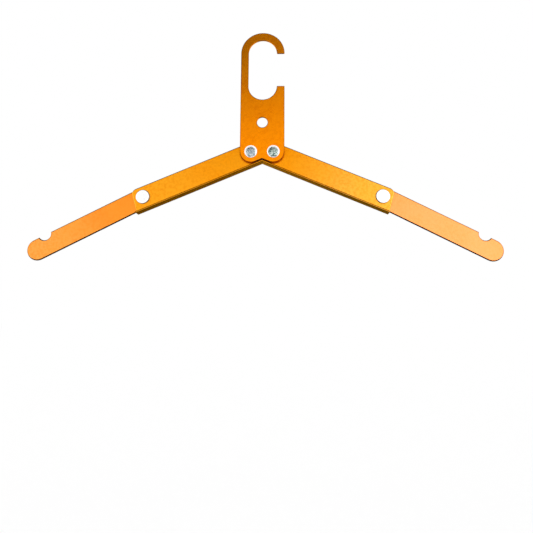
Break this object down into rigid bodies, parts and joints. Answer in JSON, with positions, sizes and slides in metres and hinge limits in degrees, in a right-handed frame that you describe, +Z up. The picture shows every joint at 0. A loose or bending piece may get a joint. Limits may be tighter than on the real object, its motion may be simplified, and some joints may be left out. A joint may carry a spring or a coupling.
{
  "type": "folding travel hanger",
  "caption": "Flat hook plate with a side mouth and two riveted two-link arms that fold up round the plate, with a strap notch near each tip.",
  "frame": {"origin": "crown of the hook's inner arch, where the hanger rests on a rail, at half the plate's thickness", "axes": "+Z up, front towards -Y, the hook's mouth opens towards +X; the arms spread along X"},
  "size_m": [0.3946, 0.0104, 0.1991],
  "materials": {
    "hook_plate": "orange anodised, satin",
    "left_inner_arm": "gold orange anodised, fine blasted satin",
    "left_outer_arm": "orange anodised, satin",
    "left_shoulder_rivet": "bright, polished head",
    "left_elbow_rivet": "bright, polished head",
    "left_shoulder_washer": "plain bright steel washer",
    "left_elbow_washer": "plain bright steel washer",
    "right_inner_arm": "gold orange anodised, fine blasted satin",
    "right_outer_arm": "orange anodised, satin",
    "right_shoulder_rivet": "bright, polished head",
    "right_elbow_rivet": "bright, polished head",
    "right_shoulder_washer": "plain bright steel washer",
    "right_elbow_washer": "plain bright steel washer"
  },
  "bodies": {
    "hook": {"hook_plate": "hook_plate", "left_shoulder_rivet": "left_shoulder_rivet", "left_shoulder_washer": "left_shoulder_washer", "right_shoulder_rivet": "right_shoulder_rivet", "right_shoulder_washer": "right_shoulder_washer"},
    "left_inner_arm": {"left_inner_arm": "left_inner_arm", "left_elbow_rivet": "left_elbow_rivet", "left_elbow_washer": "left_elbow_washer"},
    "left_outer_arm": {"left_outer_arm": "left_outer_arm"},
    "right_inner_arm": {"right_inner_arm": "right_inner_arm", "right_elbow_rivet": "right_elbow_rivet", "right_elbow_washer": "right_elbow_washer"},
    "right_outer_arm": {"right_outer_arm": "right_outer_arm"}
  },
  "joints": [
    {"name": "left_shoulder", "type": "hinge", "parent": "hook", "child": "left_inner_arm", "pos_m": [-0.0095, 0, -0.1004], "axis": [0, 1, 0], "range_deg": [0, 112.74]},
    {"name": "left_elbow", "type": "hinge", "parent": "left_inner_arm", "child": "left_outer_arm", "pos_m": [-0.10025, 0, -0.13845], "axis": [0, 1, 0], "range_deg": [0, 184.14]},
    {"name": "right_shoulder", "type": "hinge", "parent": "hook", "child": "right_inner_arm", "pos_m": [0.0095, 0, -0.1004], "axis": [0, -1, 0], "range_deg": [0, 112.74]},
    {"name": "right_elbow", "type": "hinge", "parent": "right_inner_arm", "child": "right_outer_arm", "pos_m": [0.10025, 0, -0.13845], "axis": [0, -1, 0], "range_deg": [0, 184.14]}
  ]
}
